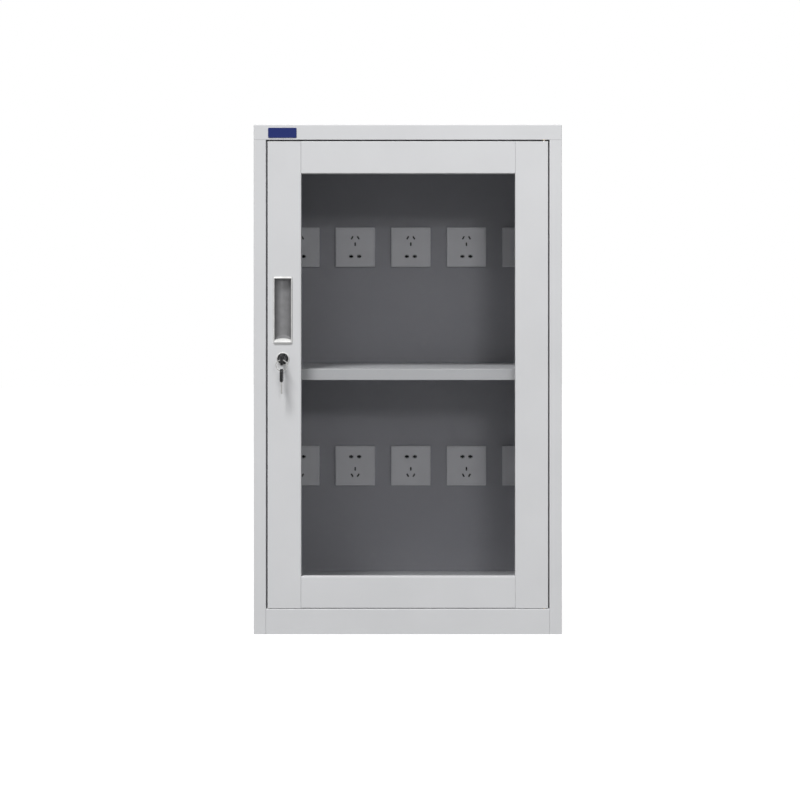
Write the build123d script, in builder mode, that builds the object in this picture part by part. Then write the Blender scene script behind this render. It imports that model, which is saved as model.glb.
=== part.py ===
from build123d import *
import os

os.makedirs("parts", exist_ok=True)

# A glass-fronted steel charging cabinet with two rows of mains sockets.
# Millimetres. The origin is the middle of the footprint on the floor, with the
# front towards -Y and +Z up.

# Cabinet body
width = 600.0
depth = 400.0
height = 992.0
sheet = 1.0  # steel gauge of the whole carcass and door
bend = 1.5  # outside radius of a folded edge
fit = 0.3  # clearance of a panel that slides in between others
seam = 0.3  # open line between the cap and the side panels
weld_seam = 0.1  # a joint that is spot-welded and painted over
corner_cuts = (4.1, 1.5)  # two cuts stand for a moulded corner of 7 mm radius

# Doorway, formed by the side panels, the cap and the plinth
stile_face = 24.0
cap_face = 29.0
plinth_face = 49.5
stop_setback = 26.0  # from the front to the face that the door closes on
stop_width = 15.0
floor_step = 11.0  # the floor stands above the plinth and stops the door
rear_flange = 15.0
plinth_lip = 20.0
cap_lip = 15.0
cap_edge = 1.2

# Door
door_gap_left = 3.0
door_gap_right = 2.5
door_gap_top = 3.2
door_gap_bottom = 1.2
door_thickness = 22.0
door_stile_left_face = 65.4
door_stile_right_face = 64.2
door_rail_top_face = 62.8
door_rail_bottom_face = 61.8
door_back_flange = 12.0
reveal = 16.0  # depth of the window's edge, from the front to the glazing seat
glazing_seat = 15.0
glass_thickness = 4.0
glass_overlap = 8.5
tape_thickness = 0.5
bead_sheet = 0.8
bead_foot = 5.0
bead_cover = 6.0  # how far a bead reaches over the back of the glass
bead_gap = 0.5

# Hinges: a pin at the top and at the bottom corner of the door
pivot_inset = 8.0  # from the door's right edge
pivot_setback = 6.0  # from the door's front
pin_radius = 2.5
pin_length = 13.0
pin_plate_thickness = 2.0
pin_plate_width = 13.0
pin_plate_depth = 13.0
running_fit = 0.05
hole_fit = 0.1  # round a part that stays still in its hole
bush_wall = 1.3
bush_sides = 20
bush_length = 5.4
bush_proud = 0.8

# Recessed pull and lock, on one line down the left stile
hardware_inset = 30.0
pull_rise = 581.0  # from the door's lower edge to the pull's middle
pull_width = 37.0
pull_height = 130.0
pull_corner = 3.0
pull_rim = 1.2
pull_wall = 1.2
scoop_width = 32.0
scoop_height = 120.0
scoop_depth = 13.0
scoop_side = 4.0
scoop_ramp_top = 3.0
scoop_ramp_bottom = 11.0
lock_drop = 95.5  # from the pull's middle down to the lock's
lock_face_radius = 10.75
lock_face_thickness = 2.5
lock_body_radius = 9.3
lock_barrel_sides = 24
plug_radius = 6.5
plug_proud = 0.8
plug_fit = 0.1
keyway_width = 2.7
keyway_height = 8.5
keyway_depth = 24.0
nut_across_flats = 24.0
nut_thickness = 5.0
nut_bore_sides = 24
cam_thickness = 2.5
cam_length = 34.0
cam_width = 15.0
cam_clearance = 1.0
cam_square = 6.4
cam_screw_head_radius = 4.6
cam_screw_head = 2.4
cam_screw_radius = 2.0
cam_screw_sides = 12
cam_screw_length = 6.5

# Keys on a ring
blade_thickness = 2.2
blade_height = 7.8
blade_length = 23.0
blade_tang = 7.0
blade_notch = 1.6
bow_length = 25.0
bow_width = 23.0
bow_thickness = 5.0
bow_hole_radius = 2.6
bow_hole_sides = 16
bow_hole_inset = 4.8
bow_standoff = 1.7
ring_radius = 10.8  # to the middle of the wire
ring_wire = 1.5
ring_drop = 1.1  # the wire hangs this far below the middle of the bow's hole
ring_sides = 32

# Shelf and its slotted uprights
shelf_rise = 454.5  # above the floor of the cabinet
shelf_lip = 22.0
shelf_return = 12.0
shelf_front_setback = 45.0
shelf_rear_gap = 3.0
shelf_end_gap = 2.0
upright_width = 20.0
upright_proud = 9.0
upright_front_setback = 70.0
upright_rear_gap = 43.0  # from its middle to the socket panel
slot_width = 4.0
slot_height = 12.0
slot_pitch = 50.0
slots_below_shelf = 6
slots_above_shelf = 6
clip_sheet = 1.5
clip_width = 14.0
clip_ledge = 16.0
clip_rest = 0.3
clip_hook_drop = 5.0

# Sockets, five to a row, on a panel that closes off the wiring space
socket_columns = 5
socket_margin = 14.0  # from the side wall to the end plates
upper_row_drop = 196.2  # below the cap
lower_row_rise = 230.6  # above the floor of the cabinet
wiring_space = 47.0  # from the socket panel's face to the cabinet's back
panel_flange = 12.0
plate_width = 86.0
plate_thickness = 8.0
plate_skin = 2.5
plate_wall = 2.5
plate_taper = 2.0  # a plate's face is this much smaller all round than its back
module_fit = 0.3
module_width = 50.0
module_height = 54.0
module_depth = 24.0
module_terminal_width = 30.0
module_terminal_height = 12.0
module_terminal_depth = 6.0
pin_depth = 16.0
two_pole_half = 8.7
two_pole_rise = 20.0
two_pole_radius = 2.7
two_pole_sides = 8
two_pole_slot_width = 8.0
two_pole_slot_height = 3.2
earth_rise = -6.5
live_half = 6.7
live_rise = -20.5
live_slant = 30.0
pin_slot_width = 2.2
pin_slot_length = 7.0

# Wiring space behind the socket panel
loom_radius = 4.0
loom_gap = 0.2
loom_end_past_socket = 16.0
loom_sides = 12
lower_riser_inset = 23.0  # from the side wall
upper_riser_inset = 9.0
terminal_box_width = 60.0
terminal_box_height = 50.0
terminal_box_wall = 3.0
inlet_inset = 33.0  # cable inlet and terminal box, from the side wall
terminal_box_bottom = 115.0
grommet_z = 86.0
grommet_bore = 5.0
grommet_neck = 8.0
grommet_flange = 10.5
grommet_flange_thickness = 2.5
grommet_sides = 20
cover_margin = 2.0
vent_width = 120.0
vent_height = 5.0
vent_pitch_x = 160.0
vent_pitch_z = 14.0
vent_columns = 2
vent_rows = 4
vent_inset = 115.0  # from the floor and from the cap

# Rubber buffers on the door stop
buffer_radius = 5.0
buffer_sides = 20
buffer_inset = 90.0

# Faces and edges that several pieces share
half_width = width / 2
front = -depth / 2
back = depth / 2
wall_inside = half_width - sheet
doorway_half = half_width - stile_face
stop_front = front + stop_setback
stop_back = stop_front + sheet
cap_bottom = height - cap_face
floor_top = plinth_face + floor_step
cover_front = back - sheet
flange_front = cover_front - sheet

door_left = -doorway_half + door_gap_left
door_right = doorway_half - door_gap_right
door_bottom = plinth_face + door_gap_bottom
door_top = cap_bottom - door_gap_top
door_back = front + door_thickness
window_left = door_left + door_stile_left_face
window_right = door_right - door_stile_right_face
window_bottom = door_bottom + door_rail_bottom_face
window_top = door_top - door_rail_top_face
seat_back = front + reveal
glass_front = seat_back + tape_thickness
glass_back = glass_front + glass_thickness
glass_left = window_left - glass_overlap
glass_right = window_right + glass_overlap
glass_bottom = window_bottom - glass_overlap
glass_top = window_top + glass_overlap

pivot_x = door_right - pivot_inset
pivot_y = front + pivot_setback
hardware_x = door_left + hardware_inset
pull_center_z = door_bottom + pull_rise
lock_center_z = pull_center_z - lock_drop
bush_bore = pin_radius + running_fit
bush_radius = bush_bore + bush_wall

shelf_top = floor_top + shelf_rise
shelf_bottom = shelf_top - shelf_lip
shelf_front = front + shelf_front_setback
panel_front = back - wiring_space
panel_back = panel_front + sheet
upright_face = wall_inside - upright_proud
shelf_end = upright_face - shelf_end_gap
shelf_rear = panel_front - shelf_rear_gap
upright_front_y = front + upright_front_setback
upright_rear_y = panel_front - upright_rear_gap
clip_top = shelf_bottom - clip_rest

upper_row_z = cap_bottom - upper_row_drop
lower_row_z = floor_top + lower_row_rise
socket_rows = {"upper": (upper_row_z, -1), "lower": (lower_row_z, 1)}
last_socket = wall_inside - socket_margin - plate_width / 2
socket_pitch = 2 * last_socket / (socket_columns - 1)
inlet_x = wall_inside - inlet_inset
module_back = panel_back + module_depth
terminal_back = module_back + module_terminal_depth
loom_y = terminal_back + loom_gap + loom_radius


def save(builder, name):
    """Name a finished piece and write it."""
    builder.part.label = name
    export_step(builder.part, f"parts/{name}.step")


def facing(y):
    """The upright plane at depth y, as seen from the front: right is X, up is Z."""
    return Plane.XZ.offset(-y)


def block(low, high, mode=Mode.ADD):
    """A plain block between two opposite corners."""
    size = [b - a for a, b in zip(low, high)]
    with Locations(low):
        Box(*size, align=(Align.MIN, Align.MIN, Align.MIN), mode=mode)


def folded(plane, points, length, side=Side.LEFT, bends=0, gauge=sheet):
    """A sheet folded along the points of its outside face, drawn out by length."""
    with BuildPart() as piece:
        with BuildSketch(plane):
            with BuildLine():
                outside = FilletPolyline(*points, radius=bends)
                offset(outside, amount=gauge, side=side, kind=Kind.INTERSECTION)
            make_face()
        extrude(amount=length)
    return piece.part


def edges_at(part, axis, **place):
    """The straight edges along one axis that lie at the given x, y or z."""

    def there(edge):
        middle = edge.center()
        found = {"x": middle.X, "y": middle.Y, "z": middle.Z}
        return all(abs(found[name] - value) < 0.01 for name, value in place.items())

    return part.edges().filter_by(axis).filter_by(there)


# The two bends at the front of a fold are rounded, those out of sight are sharp
front_bends = (0, bend, bend, 0)

# Side panels: front stile, rebate and door stop folded from one sheet
side_points = [
    (-half_width + rear_flange, cover_front),
    (-half_width, cover_front),
    (-half_width, front),
    (-doorway_half, front),
    (-doorway_half, stop_front),
    (-doorway_half + stop_width, stop_front),
]
with BuildPart() as side_panel_left:
    add(folded(Plane.XY, side_points, cap_bottom - seam, bends=front_bends))
    # the stop is cut short above the floor pan
    block(
        (-doorway_half - sheet - fit, stop_front - bend - fit, 0),
        (-doorway_half + stop_width + fit, stop_back + bend + fit, floor_top),
        mode=Mode.SUBTRACT,
    )
save(side_panel_left, "side_panel_left")

with BuildPart() as side_panel_right:
    mirror(side_panel_left.part, about=Plane.YZ)
save(side_panel_right, "side_panel_right")

# Top cap: a lid with an apron all round, whose front lip carries the door stop
with BuildPart() as top_cap:
    with BuildSketch(Plane.XY.offset(cap_bottom)):
        Rectangle(width, depth)
    extrude(amount=cap_face)
    chamfer(
        top_cap.edges().filter_by(Axis.Z) + top_cap.edges().group_by(Axis.Z)[-1],
        cap_edge,
    )
    with BuildSketch(Plane.XY.offset(cap_bottom + sheet)):
        Rectangle(width - 2 * sheet, depth - 2 * sheet)
    extrude(amount=cap_face - 2 * sheet, mode=Mode.SUBTRACT)
    block(
        (-half_width + cap_lip, stop_front, cap_bottom),
        (half_width - cap_lip, back - cap_lip, cap_bottom + sheet),
        mode=Mode.SUBTRACT,
    )
    stop_half = doorway_half - stop_width - fit
    block(
        (-stop_half, stop_front, cap_bottom - stop_width),
        (stop_half, stop_back, cap_bottom + sheet),
    )
    with BuildSketch(Plane.XY.offset(cap_bottom)):
        with Locations((pivot_x, pivot_y)):
            Circle(bush_radius + hole_fit)
    extrude(amount=sheet, mode=Mode.SUBTRACT)
save(top_cap, "top_cap")

# Base tray: plinth, step and floor in one pan, with a lip that rests on the floor
plinth_half = doorway_half - weld_seam
tray_half = wall_inside - fit
tray_shoulder = stop_back + bend + fit
tray_rear = flange_front - fit
with BuildPart() as base_tray:
    block(
        (-plinth_half, front, 0),
        (plinth_half, stop_front + sheet, plinth_face),
    )
    block((-plinth_half, stop_front, 0), (plinth_half, tray_rear, floor_top))
    block((-tray_half, tray_shoulder, 0), (tray_half, tray_rear, floor_top))
    fillet(edges_at(base_tray, Axis.X, y=front, z=plinth_face), bend)
    fillet(edges_at(base_tray, Axis.X, y=stop_front, z=floor_top), bend)
    block(
        (-plinth_half + sheet, front + sheet, sheet),
        (plinth_half - sheet, stop_front + 2 * sheet, plinth_face - sheet),
        mode=Mode.SUBTRACT,
    )
    block(
        (-plinth_half + sheet, stop_front + sheet, sheet),
        (plinth_half - sheet, tray_rear - sheet, floor_top - sheet),
        mode=Mode.SUBTRACT,
    )
    block(
        (-tray_half + sheet, tray_shoulder + sheet, sheet),
        (tray_half - sheet, tray_rear - sheet, floor_top - sheet),
        mode=Mode.SUBTRACT,
    )
    block(
        (-plinth_half + plinth_lip, front + plinth_lip, 0),
        (plinth_half - plinth_lip, tray_rear - plinth_lip, sheet),
        mode=Mode.SUBTRACT,
    )
    with BuildSketch(Plane.XY.offset(plinth_face)):
        with Locations((pivot_x, pivot_y)):
            Circle(bush_radius + hole_fit)
    extrude(amount=-sheet, mode=Mode.SUBTRACT)
save(base_tray, "base_tray")

# Rear cover with vent slots and the cable hole
with BuildPart() as rear_cover:
    with BuildSketch(facing(cover_front)):
        with Locations((0, (cap_bottom + cover_margin) / 2)):
            Rectangle(
                width - 2 * cover_margin,
                cap_bottom - cover_margin - 2 * fit,
            )
        for vent_z in (floor_top + vent_inset, cap_bottom - vent_inset):
            with Locations((0, vent_z)):
                with GridLocations(
                    vent_pitch_x, vent_pitch_z, vent_columns, vent_rows
                ):
                    Rectangle(vent_width, vent_height, mode=Mode.SUBTRACT)
        with Locations((inlet_x, grommet_z)):
            Circle(grommet_neck + hole_fit, mode=Mode.SUBTRACT)
    extrude(amount=-sheet)
save(rear_cover, "rear_cover")

# Rubber grommet in the cable hole, its bore open from back to front
with BuildPart() as cable_grommet:
    with BuildSketch(facing(back + grommet_flange_thickness)):
        with Locations((inlet_x, grommet_z)):
            RegularPolygon(grommet_flange, grommet_sides)
    extrude(amount=2 * grommet_flange_thickness + sheet)
    with BuildSketch(facing(back)):
        with Locations((inlet_x, grommet_z)):
            RegularPolygon(grommet_flange, grommet_sides)
            RegularPolygon(grommet_neck, grommet_sides, mode=Mode.SUBTRACT)
    extrude(amount=sheet, mode=Mode.SUBTRACT)
    with BuildSketch(facing(back + grommet_flange_thickness)):
        with Locations((inlet_x, grommet_z)):
            Circle(grommet_bore)
    extrude(amount=2 * grommet_flange_thickness + sheet, mode=Mode.SUBTRACT)
save(cable_grommet, "cable_grommet")

# Socket panel: the inside back wall, flanged at both sides
panel_half = wall_inside - fit
panel_points = [
    (-panel_half, panel_front + panel_flange),
    (-panel_half, panel_front),
    (panel_half, panel_front),
    (panel_half, panel_front + panel_flange),
]
with BuildPart() as socket_panel:
    add(
        folded(
            Plane.XY.offset(floor_top + fit),
            panel_points,
            cap_bottom - floor_top - 2 * fit,
        )
    )
    for row_z, _ in socket_rows.values():
        with BuildSketch(facing(panel_front)):
            with Locations((0, row_z)):
                with GridLocations(socket_pitch, 1, socket_columns, 1):
                    Rectangle(
                        module_width + 2 * module_fit, module_height + 2 * module_fit
                    )
        extrude(amount=-sheet, mode=Mode.SUBTRACT)
save(socket_panel, "socket_panel")


def pin_entries():
    """The five pin entries of one socket, drawn about the plate's middle."""
    with Locations((-two_pole_half, two_pole_rise), (two_pole_half, two_pole_rise)):
        RegularPolygon(two_pole_radius, two_pole_sides, major_radius=False)
        Rectangle(two_pole_slot_width, two_pole_slot_height)
    with Locations((0, earth_rise)):
        Rectangle(pin_slot_width, pin_slot_length)
    for hand in (-1, 1):
        with Locations((hand * live_half, live_rise)):
            Rectangle(pin_slot_width, pin_slot_length, rotation=-hand * live_slant)


def socket_plate(plane):
    """The front plate that snaps over a module, hollow behind its face."""
    face_width = plate_width - 2 * plate_taper
    with BuildPart() as plate:
        for rise, size in ((0, plate_width), (plate_thickness, face_width)):
            with BuildSketch(plane.offset(rise)) as outline:
                Rectangle(size, size)
                for cut in corner_cuts:
                    chamfer(outline.vertices(), cut)
        loft(ruled=True)
        with BuildSketch(plane):
            Rectangle(plate_width - 2 * plate_wall, plate_width - 2 * plate_wall)
        extrude(amount=plate_thickness - plate_skin, mode=Mode.SUBTRACT)
        with BuildSketch(plane.offset(plate_thickness)):
            pin_entries()
        extrude(amount=-plate_skin, mode=Mode.SUBTRACT)
    return plate.part


def socket_module(plane):
    """The frame and contact block behind a plate, with pockets for the pins."""
    frame_width = plate_width - 2 * plate_wall - 2 * module_fit
    frame_thickness = plate_thickness - plate_skin - module_fit
    with BuildPart() as module:
        with BuildSketch(plane):
            Rectangle(frame_width, frame_width)
        extrude(amount=frame_thickness)
        with BuildSketch(plane):
            Rectangle(module_width, module_height)
        extrude(amount=-sheet - module_depth)
        with BuildSketch(plane.offset(-sheet - module_depth)):
            Rectangle(module_terminal_width, module_terminal_height)
        extrude(amount=-module_terminal_depth)
        with BuildSketch(plane.offset(frame_thickness)):
            with Locations((0, two_pole_rise)):
                with GridLocations(2 * two_pole_half, 1, 2, 1):
                    Rectangle(two_pole_slot_width, 2 * two_pole_radius)
            with Locations((0, earth_rise)):
                Rectangle(pin_slot_width, pin_slot_length)
            for hand in (-1, 1):
                with Locations((hand * live_half, live_rise)):
                    Rectangle(
                        pin_slot_width, pin_slot_length, rotation=-hand * live_slant
                    )
        extrude(amount=-pin_depth, mode=Mode.SUBTRACT)
    return module.part


# Ten sockets; the upper row is mounted upside down, as its holes show
for row_name, (row_z, turn) in socket_rows.items():
    for column in range(socket_columns):
        socket_x = (column - (socket_columns - 1) / 2) * socket_pitch
        socket_face = Plane(
            origin=(socket_x, panel_front, row_z),
            x_dir=(turn, 0, 0),
            z_dir=(0, -1, 0),
        )
        with BuildPart() as plate_piece:
            add(socket_plate(socket_face))
        save(plate_piece, f"socket_plate_{row_name}_{column + 1}")
        with BuildPart() as module_piece:
            add(socket_module(socket_face))
        save(module_piece, f"socket_module_{row_name}_{column + 1}")

# Terminal box below the risers, on the back of the socket panel
box_back = loom_y + loom_radius + terminal_box_wall
with BuildPart() as terminal_box:
    block(
        (
            inlet_x - terminal_box_width / 2,
            panel_back,
            terminal_box_bottom,
        ),
        (
            inlet_x + terminal_box_width / 2,
            box_back,
            terminal_box_bottom + terminal_box_height,
        ),
    )
save(terminal_box, "terminal_box")


def loom(riser_x, row_z):
    """A cable up from the terminal box and along the back of one row of sockets."""
    turn_radius = riser_x - last_socket - loom_end_past_socket
    row_end = -last_socket - loom_end_past_socket
    box_top = terminal_box_bottom + terminal_box_height
    with BuildPart() as cable:
        with BuildLine() as route:
            FilletPolyline(
                (riser_x, loom_y, box_top),
                (riser_x, loom_y, row_z),
                (row_end, loom_y, row_z),
                radius=turn_radius,
            )
        with BuildSketch(Plane(origin=(riser_x, loom_y, box_top))):
            RegularPolygon(loom_radius, loom_sides)
        sweep(path=route.line)
    return cable.part


with BuildPart() as wiring_loom_lower:
    add(loom(wall_inside - lower_riser_inset, lower_row_z))
save(wiring_loom_lower, "wiring_loom_lower")

with BuildPart() as wiring_loom_upper:
    add(loom(wall_inside - upper_riser_inset, upper_row_z))
save(wiring_loom_upper, "wiring_loom_upper")


# Slotted uprights: channels on the side walls, slots facing the shelf
def upright(y):
    """The channel on the left wall whose middle is at depth y."""
    low = floor_top + fit
    length = cap_bottom - floor_top - 2 * fit
    points = [
        (-wall_inside, y + upright_width / 2),
        (-upright_face, y + upright_width / 2),
        (-upright_face, y - upright_width / 2),
        (-wall_inside, y - upright_width / 2),
    ]
    with BuildPart() as channel:
        add(folded(Plane.XY.offset(low), points, length, side=Side.RIGHT))
        with BuildSketch(Plane.YZ.offset(-upright_face)):
            with Locations([(y, clip_slot_z + n * slot_pitch) for n in slot_numbers]):
                Rectangle(slot_width, slot_height)
        extrude(amount=-sheet, mode=Mode.SUBTRACT)
    return channel.part


clip_slot_z = clip_top - slot_height
slot_numbers = range(-slots_below_shelf, slots_above_shelf + 1)
upright_places = {"front": upright_front_y, "rear": upright_rear_y}
for place, upright_y in upright_places.items():
    with BuildPart() as upright_left:
        add(upright(upright_y))
    save(upright_left, f"upright_{place}_left")
    with BuildPart() as upright_right:
        mirror(upright_left.part, about=Plane.YZ)
    save(upright_right, f"upright_{place}_right")

# Shelf clips: each hooks into a slot and carries a corner of the shelf
with BuildPart() as shelf_clips:
    for clip_y in upright_places.values():
        block(
            (-upright_face, clip_y - clip_width / 2, clip_slot_z - slot_height),
            (-upright_face + clip_sheet, clip_y + clip_width / 2, clip_top),
        )
        block(
            (-upright_face, clip_y - clip_width / 2, clip_top - clip_sheet),
            (-upright_face + clip_ledge, clip_y + clip_width / 2, clip_top),
        )
        hook_half = slot_width / 2 - fit
        hook_back = -upright_face - sheet - fit
        hook_low = clip_slot_z - slot_height / 2 + fit
        block(
            (hook_back - clip_sheet, clip_y - hook_half, hook_low),
            (-upright_face, clip_y + hook_half, hook_low + clip_sheet * 2),
        )
        block(
            (hook_back - clip_sheet, clip_y - hook_half, hook_low - clip_hook_drop),
            (hook_back, clip_y + hook_half, hook_low),
        )
    mirror(about=Plane.YZ)
save(shelf_clips, "shelf_clips")

# Shelf: a shallow tray turned over, with its lips returned at front and rear
with BuildPart() as shelf:
    block((-shelf_end, shelf_front, shelf_bottom), (shelf_end, shelf_rear, shelf_top))
    fillet(edges_at(shelf, Axis.X, z=shelf_top), bend)
    block(
        (-shelf_end + sheet, shelf_front + sheet, shelf_bottom + sheet),
        (shelf_end - sheet, shelf_rear - sheet, shelf_top - sheet),
        mode=Mode.SUBTRACT,
    )
    block(
        (-shelf_end + sheet, shelf_front + shelf_return, shelf_bottom),
        (shelf_end - sheet, shelf_rear - shelf_return, shelf_bottom + sheet),
        mode=Mode.SUBTRACT,
    )
save(shelf, "shelf")


# Door frame: two full-height stiles with the rails between them
def door_stile(edge_x, window_x):
    """A stile folded from its outer edge, round the front, to the glazing seat."""
    inward = 1 if window_x > edge_x else -1
    points = [
        (edge_x + inward * door_back_flange, door_back),
        (edge_x, door_back),
        (edge_x, front),
        (window_x, front),
        (window_x, seat_back),
        (window_x - inward * glazing_seat, seat_back),
    ]
    side = Side.LEFT if inward > 0 else Side.RIGHT
    middle = (edge_x + window_x) / 2
    face_width = abs(window_x - edge_x)
    with BuildPart() as stile:
        add(
            folded(
                Plane.XY.offset(door_bottom),
                points,
                door_top - door_bottom,
                side=side,
                bends=front_bends,
            )
        )
        # the ends are closed by folded tabs
        for tab_low in (door_bottom, door_top - sheet):
            with BuildSketch(Plane.XY.offset(tab_low)):
                with Locations((middle, (front + door_back) / 2)):
                    Rectangle(face_width - sheet, door_thickness - sheet)
            extrude(amount=sheet)
    return stile.part


with BuildPart() as door_stile_left:
    add(door_stile(door_left, window_left))
    with BuildSketch(facing(front)):
        with Locations((hardware_x, pull_center_z)):
            Rectangle(
                scoop_width + 2 * (pull_wall + fit),
                scoop_height + 2 * (pull_wall + fit),
            )
        with Locations((hardware_x, lock_center_z)):
            Circle(lock_body_radius + hole_fit)
    extrude(amount=-sheet, mode=Mode.SUBTRACT)
save(door_stile_left, "door_stile_left")

with BuildPart() as door_stile_right:
    add(door_stile(door_right, window_right))
    with BuildSketch(Plane.XY.offset(door_bottom)):
        with Locations((pivot_x, pivot_y)):
            Circle(pin_radius + hole_fit)
    extrude(amount=door_top - door_bottom, mode=Mode.SUBTRACT)
save(door_stile_right, "door_stile_right")


def door_rail(edge_z, window_z):
    """A rail between the stiles, folded in the same section as they are."""
    inward = 1 if window_z > edge_z else -1
    points = [
        (door_back, edge_z + inward * door_back_flange),
        (door_back, edge_z),
        (front, edge_z),
        (front, window_z),
        (seat_back, window_z),
        (seat_back, window_z - inward * glazing_seat),
    ]
    side = Side.RIGHT if inward > 0 else Side.LEFT
    return folded(
        Plane.YZ.offset(window_left + weld_seam),
        points,
        window_right - window_left - 2 * weld_seam,
        side=side,
        bends=front_bends,
    )


with BuildPart() as door_rail_top:
    add(door_rail(door_top, window_top))
save(door_rail_top, "door_rail_top")

with BuildPart() as door_rail_bottom:
    add(door_rail(door_bottom, window_bottom))
save(door_rail_bottom, "door_rail_bottom")

# Glass, its bedding tape and the beads that hold it from behind
with BuildPart() as door_glass:
    block((glass_left, glass_front, glass_bottom), (glass_right, glass_back, glass_top))
save(door_glass, "door_glass")

with BuildPart() as glazing_tape:
    block((glass_left, seat_back, glass_bottom), (glass_right, glass_front, glass_top))
    block(
        (window_left, seat_back, window_bottom),
        (window_right, glass_front, window_top),
        mode=Mode.SUBTRACT,
    )
save(glazing_tape, "glazing_tape")


def bead_section(edge, inward):
    """Points of a bead from its foot on the seat to its lip over the glass."""
    web = edge - inward * (bead_gap + bead_sheet)
    return [
        (web - inward * bead_foot, seat_back),
        (web + inward * bead_sheet, seat_back),
        (web + inward * bead_sheet, glass_back),
        (edge + inward * bead_cover, glass_back),
    ]


bead_reach = bead_gap + bead_sheet + bead_foot
with BuildPart() as glazing_beads:
    for edge, inward in ((glass_left, 1), (glass_right, -1)):
        add(
            folded(
                Plane.XY.offset(glass_bottom - bead_reach),
                bead_section(edge, inward),
                glass_top - glass_bottom + 2 * bead_reach,
                side=Side.LEFT if inward > 0 else Side.RIGHT,
                gauge=bead_sheet,
            )
        )
    for edge, inward in ((glass_bottom, 1), (glass_top, -1)):
        section = [(y, z) for z, y in bead_section(edge, inward)]
        add(
            folded(
                Plane.YZ.offset(glass_left + bead_cover + fit),
                section,
                glass_right - glass_left - 2 * (bead_cover + fit),
                side=Side.RIGHT if inward > 0 else Side.LEFT,
                gauge=bead_sheet,
            )
        )
save(glazing_beads, "glazing_beads")


# Corner hinges
def hinge_pin(tab_z, outward):
    """A pin on a plate inside the door's end, standing out through its tab."""
    with BuildPart() as pin:
        with BuildSketch(Plane.XY.offset(tab_z)):
            with Locations((pivot_x, pivot_y + pin_plate_depth / 2 - pin_radius - bend)):
                Rectangle(pin_plate_width, pin_plate_depth)
        extrude(amount=-outward * pin_plate_thickness)
        with BuildSketch(Plane.XY.offset(tab_z)):
            with Locations((pivot_x, pivot_y)):
                Circle(pin_radius)
        extrude(amount=outward * (pin_length - pin_plate_thickness))
    return pin.part


def hinge_bush(seat_z, outward):
    """A bush pressed into the sheet beyond the door's end, its inner end proud."""
    with BuildPart() as bush:
        with BuildSketch(Plane.XY.offset(seat_z - outward * bush_proud)):
            with Locations((pivot_x, pivot_y)):
                RegularPolygon(bush_radius, bush_sides)
                Circle(bush_bore, mode=Mode.SUBTRACT)
        extrude(amount=outward * bush_length)
    return bush.part


with BuildPart() as hinge_pins:
    add(hinge_pin(door_top - sheet, 1))
    add(hinge_pin(door_bottom + sheet, -1))
save(hinge_pins, "hinge_pins")

with BuildPart() as hinge_bushes:
    add(hinge_bush(cap_bottom, 1))
    add(hinge_bush(plinth_face, -1))
save(hinge_bushes, "hinge_bushes")

# Rubber buffers on the door stop
buffer_thickness = stop_front - door_back - fit
buffer_x = -doorway_half + stop_width / 2
with BuildPart() as door_buffers:
    with BuildSketch(facing(stop_front)):
        with Locations((buffer_x, floor_top + buffer_inset)):
            RegularPolygon(buffer_radius, buffer_sides)
        with Locations((buffer_x, cap_bottom - buffer_inset)):
            RegularPolygon(buffer_radius, buffer_sides)
    extrude(amount=buffer_thickness)
save(door_buffers, "door_buffers")


# Recessed pull: a pressed cup with a curved floor and ramped ends
def scoop(half, rise, floor_depth, side_depth, ramp_bottom, ramp_top):
    """The solid of the cup's hollow, from the face of its rim inwards."""
    rim_face = front - pull_rim
    low = pull_center_z - rise
    high = pull_center_z + rise
    with BuildPart() as hollow:
        with BuildSketch(Plane.XY.offset(low)):
            with BuildLine():
                Polyline(
                    (hardware_x - half, rim_face + side_depth),
                    (hardware_x - half, rim_face),
                    (hardware_x + half, rim_face),
                    (hardware_x + half, rim_face + side_depth),
                )
                ThreePointArc(
                    (hardware_x + half, rim_face + side_depth),
                    (hardware_x, rim_face + floor_depth),
                    (hardware_x - half, rim_face + side_depth),
                )
            make_face()
        extrude(amount=high - low)
        with BuildSketch(Plane.YZ.offset(hardware_x - half)):
            with BuildLine():
                Polyline(
                    (rim_face, low),
                    (rim_face, high),
                    (rim_face + floor_depth, high - ramp_top),
                    (rim_face + floor_depth, low + ramp_bottom),
                    close=True,
                )
            make_face()
        extrude(amount=2 * half, mode=Mode.INTERSECT)
    return hollow.part


with BuildPart() as recessed_pull:
    with BuildSketch(facing(front)):
        with Locations((hardware_x, pull_center_z)):
            RectangleRounded(pull_width, pull_height, pull_corner)
    extrude(amount=pull_rim)
    chamfer(recessed_pull.faces().sort_by(Axis.Y)[0].edges(), pull_rim / 2)
    add(
        scoop(
            scoop_width / 2 + pull_wall,
            scoop_height / 2 + pull_wall,
            scoop_depth + pull_wall,
            scoop_side + pull_wall,
            scoop_ramp_bottom,
            scoop_ramp_top,
        )
    )
    add(
        scoop(
            scoop_width / 2,
            scoop_height / 2,
            scoop_depth,
            scoop_side,
            scoop_ramp_bottom,
            scoop_ramp_top,
        ),
        mode=Mode.SUBTRACT,
    )
save(recessed_pull, "recessed_pull")

# Cam lock
cam_front = stop_back + cam_clearance
with BuildPart() as lock_body:
    with BuildSketch(facing(front)):
        with Locations((hardware_x, lock_center_z)):
            Circle(lock_face_radius)
    extrude(amount=lock_face_thickness)
    chamfer(lock_body.faces().sort_by(Axis.Y)[0].edges(), lock_face_thickness / 3)
    with BuildSketch(facing(front)):
        with Locations((hardware_x, lock_center_z)):
            RegularPolygon(lock_body_radius, lock_barrel_sides)
    extrude(amount=-(cam_front - fit - front))
    with BuildSketch(facing(front - lock_face_thickness)):
        with Locations((hardware_x, lock_center_z)):
            RegularPolygon(plug_radius + plug_fit, lock_barrel_sides)
    extrude(
        amount=-(cam_front - fit - front + lock_face_thickness), mode=Mode.SUBTRACT
    )
save(lock_body, "lock_body")

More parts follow.
